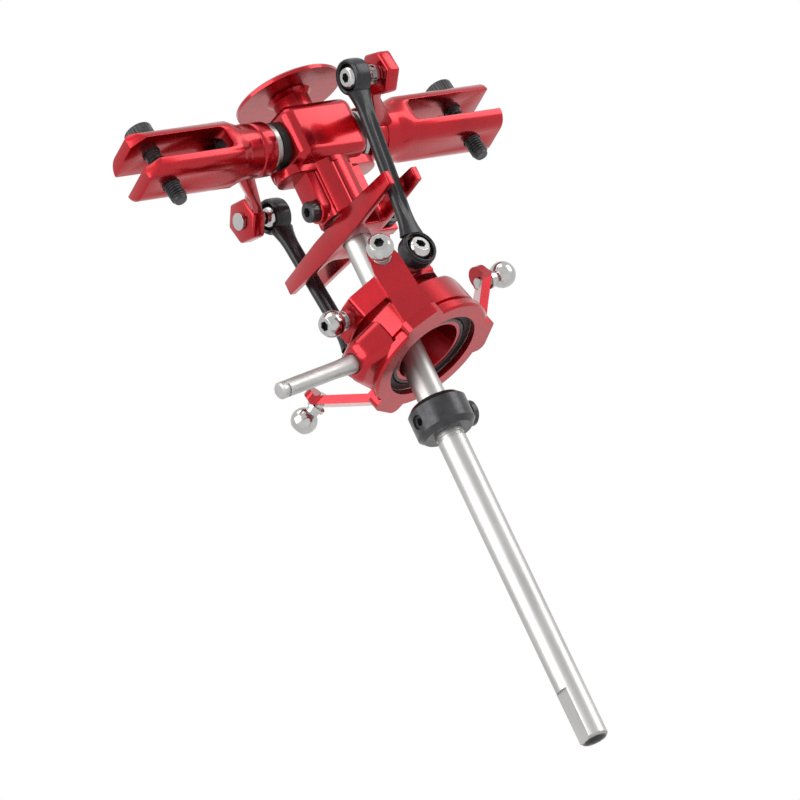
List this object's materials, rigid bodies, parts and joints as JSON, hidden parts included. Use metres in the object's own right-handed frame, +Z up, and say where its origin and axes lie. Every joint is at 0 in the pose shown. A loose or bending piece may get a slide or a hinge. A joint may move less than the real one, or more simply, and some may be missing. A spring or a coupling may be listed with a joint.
{
  "type": "helicopter swashplate and rotor head",
  "caption": "Red anodised model-helicopter rotor head: main shaft, tilting swashplate with ball studs and servo arms, follower arm, ball links, head block and blade grips",
  "frame": {"origin": "centre of the main shaft's lower end", "axes": "+Z up the shaft, +X along the feathering axis towards the right blade grip"},
  "size_m": [0.0748, 0.0455, 0.1277],
  "materials": {
    "anodised_red": "bright red anodised, satin, turned and milled",
    "steel": "ground and polished steel",
    "black_oxide": "black oxide on steel",
    "damper_rubber": "matt black rubber",
    "bearing_dark": "dark bearing shield",
    "liner_brass": "plain bearing bronze",
    "link_plastic": "moulded black nylon, slight sheen"
  },
  "bodies": {
    "head": {"main_shaft": "steel", "shaft_collar": "black_oxide", "collar_grub": "black_oxide", "collar_screw": "black_oxide", "head_block": "anodised_red", "hub_bolt": "black_oxide", "head_button": "anodised_red", "button_screw": "black_oxide", "follower_arm": "anodised_red", "follower_screw": "black_oxide", "damper_right": "damper_rubber", "damper_left": "damper_rubber"},
    "uniball_carrier": {"uniball": "steel"},
    "liner": {"uniball_liner": "liner_brass"},
    "turning_ring": {"rotor_ring": "anodised_red", "rotor_retainer": "anodised_red", "bearing_inner_race": "steel", "ring_stud_right": "steel", "ring_stud_rear": "steel", "ring_stud_left": "steel", "ring_stud_front": "steel"},
    "fixed_ring": {"stator_ring": "anodised_red", "bearing_outer_race": "steel", "bearing_shield_lower": "bearing_dark", "bearing_shield_upper": "bearing_dark", "anti_rotation_pin": "steel", "servo_stud_right": "steel", "servo_stud_near": "steel", "servo_stud_far": "steel"},
    "spindle": {"feathering_spindle": "steel", "neck_washer_right": "steel", "neck_washer_left": "steel", "spindle_screw_right": "black_oxide", "spindle_screw_left": "black_oxide"},
    "grip_right": {"blade_grip_right": "anodised_red", "blade_bolt_right": "black_oxide", "radial_bearing_right": "steel", "thrust_bearing_right": "steel"},
    "grip_left": {"blade_grip_left": "anodised_red", "blade_bolt_left": "black_oxide", "radial_bearing_left": "steel", "thrust_bearing_left": "steel"},
    "stud_right": {"pitch_stud_right": "steel"},
    "stud_left": {"pitch_stud_left": "steel"},
    "front_link": {"link_front": "link_plastic"},
    "rear_link": {"link_rear": "link_plastic"}
  },
  "joints": [
    {"name": "swash_slide", "type": "slide", "parent": "head", "child": "uniball_carrier", "axis": [0, 0, 1], "range_m": [-0.002, 0.003]},
    {"name": "swash_tilt_x", "type": "hinge", "parent": "uniball_carrier", "child": "liner", "pos_m": [0, 0, 0.0837], "axis": [1, 0, 0], "range_deg": [0, 27.6]},
    {"name": "swash_tilt_y", "type": "hinge", "parent": "liner", "child": "turning_ring", "pos_m": [0, 0, 0.0837], "axis": [0, 0.9711, -0.2385], "range_deg": [0, 15.6]},
    {"name": "fixed_ring_spin", "type": "hinge", "parent": "turning_ring", "child": "fixed_ring", "pos_m": [0, 0, 0.0837], "axis": [-0.1357, 0.2363, 0.9621], "continuous": true},
    {"name": "spindle_rock", "type": "hinge", "parent": "head", "child": "spindle", "pos_m": [0, 0, 0.1163], "axis": [1, 0, 0], "range_deg": [0, 20.82]},
    {"name": "grip_right_pitch", "type": "hinge", "parent": "spindle", "child": "grip_right", "pos_m": [0, 0, 0.1163], "axis": [1, 0, 0], "range_deg": [-9.9, 6.6]},
    {"name": "grip_left_pitch", "type": "hinge", "parent": "spindle", "child": "grip_left", "pos_m": [0, 0, 0.1163], "axis": [1, 0, 0], "range_deg": [-6.6, 9.9]},
    {"name": "stud_right_spin", "type": "hinge", "parent": "grip_right", "child": "stud_right", "pos_m": [0, -0.01738, 0.11834], "axis": [1, 0, 0], "range_deg": [-6.6, 9.9]},
    {"name": "stud_left_spin", "type": "hinge", "parent": "grip_left", "child": "stud_left", "pos_m": [0, 0.01698, 0.11207], "axis": [1, 0, 0], "range_deg": [-9.9, 6.6]},
    {"name": "front_link_swing", "type": "hinge", "parent": "stud_right", "child": "front_link", "pos_m": [0, -0.01738, 0.11834], "axis": [1, 0, 0], "range_deg": [-20.82, 0]},
    {"name": "rear_link_swing", "type": "hinge", "parent": "stud_left", "child": "rear_link", "pos_m": [0, 0.01698, 0.11207], "axis": [1, 0, 0], "range_deg": [-20.82, 0]}
  ],
  "couplings": [
    {"joint": "spindle_rock", "follows": "swash_tilt_x", "ratio": 0.754},
    {"joint": "grip_right_pitch", "follows": "swash_slide", "rad_per_m": -57.143},
    {"joint": "grip_left_pitch", "follows": "swash_slide", "rad_per_m": 57.143},
    {"joint": "stud_right_spin", "follows": "swash_slide", "rad_per_m": 57.143},
    {"joint": "stud_left_spin", "follows": "swash_slide", "rad_per_m": -57.143},
    {"joint": "front_link_swing", "follows": "swash_tilt_x", "ratio": -0.754},
    {"joint": "rear_link_swing", "follows": "swash_tilt_x", "ratio": -0.754}
  ]
}
